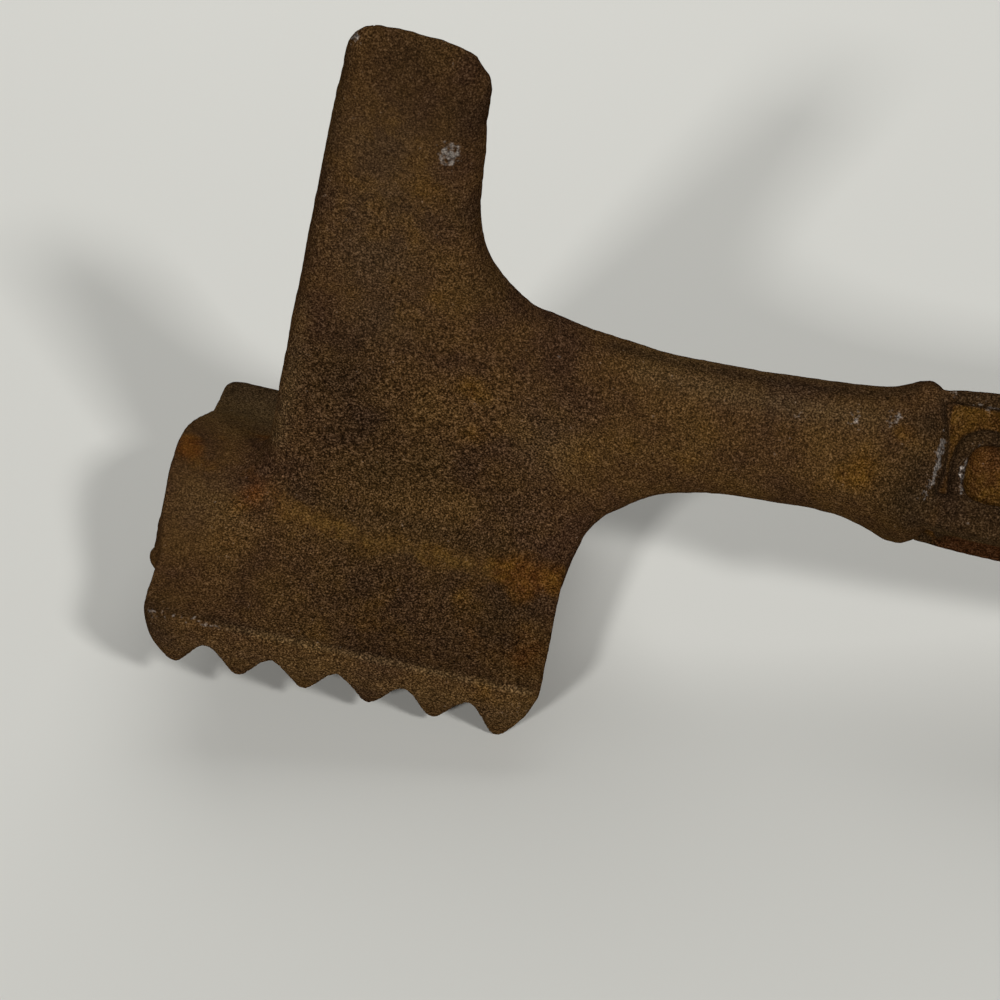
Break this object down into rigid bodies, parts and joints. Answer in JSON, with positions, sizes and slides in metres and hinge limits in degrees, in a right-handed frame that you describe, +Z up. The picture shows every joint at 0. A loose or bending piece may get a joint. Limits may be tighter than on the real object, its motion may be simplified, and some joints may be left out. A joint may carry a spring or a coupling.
{
  "type": "cast iron meat tenderizer with chopping blade",
  "caption": "Cast iron kitchen tool: square toothed tenderizing head, upright chopping blade above it, and a straight handle with a collar and a square grip with sunk slots.",
  "frame": {"origin": "centre of the bounding box on the table, with the tool lying as it comes to rest: on the last row of teeth and the lower corner of the butt", "axes": "+X along the handle towards the butt, +Y across the head, +Z up; the handle falls 7.4 degrees towards the butt and the toothed face is tipped 9.9 degrees"},
  "size_m": [0.2334, 0.05, 0.087],
  "materials": {
    "iron": "rough cast, dark brown patina with rust",
    "toothed_iron": "rough cast, dark grey brown",
    "grip_iron": "rough cast, orange rust in the slots"
  },
  "bodies": {
    "root": {"tooth_face": "toothed_iron", "head_block": "iron", "blade": "iron", "web": "iron", "neck": "iron", "collar": "iron", "grip": "grip_iron", "butt": "iron"}
  },
  "joints": []
}
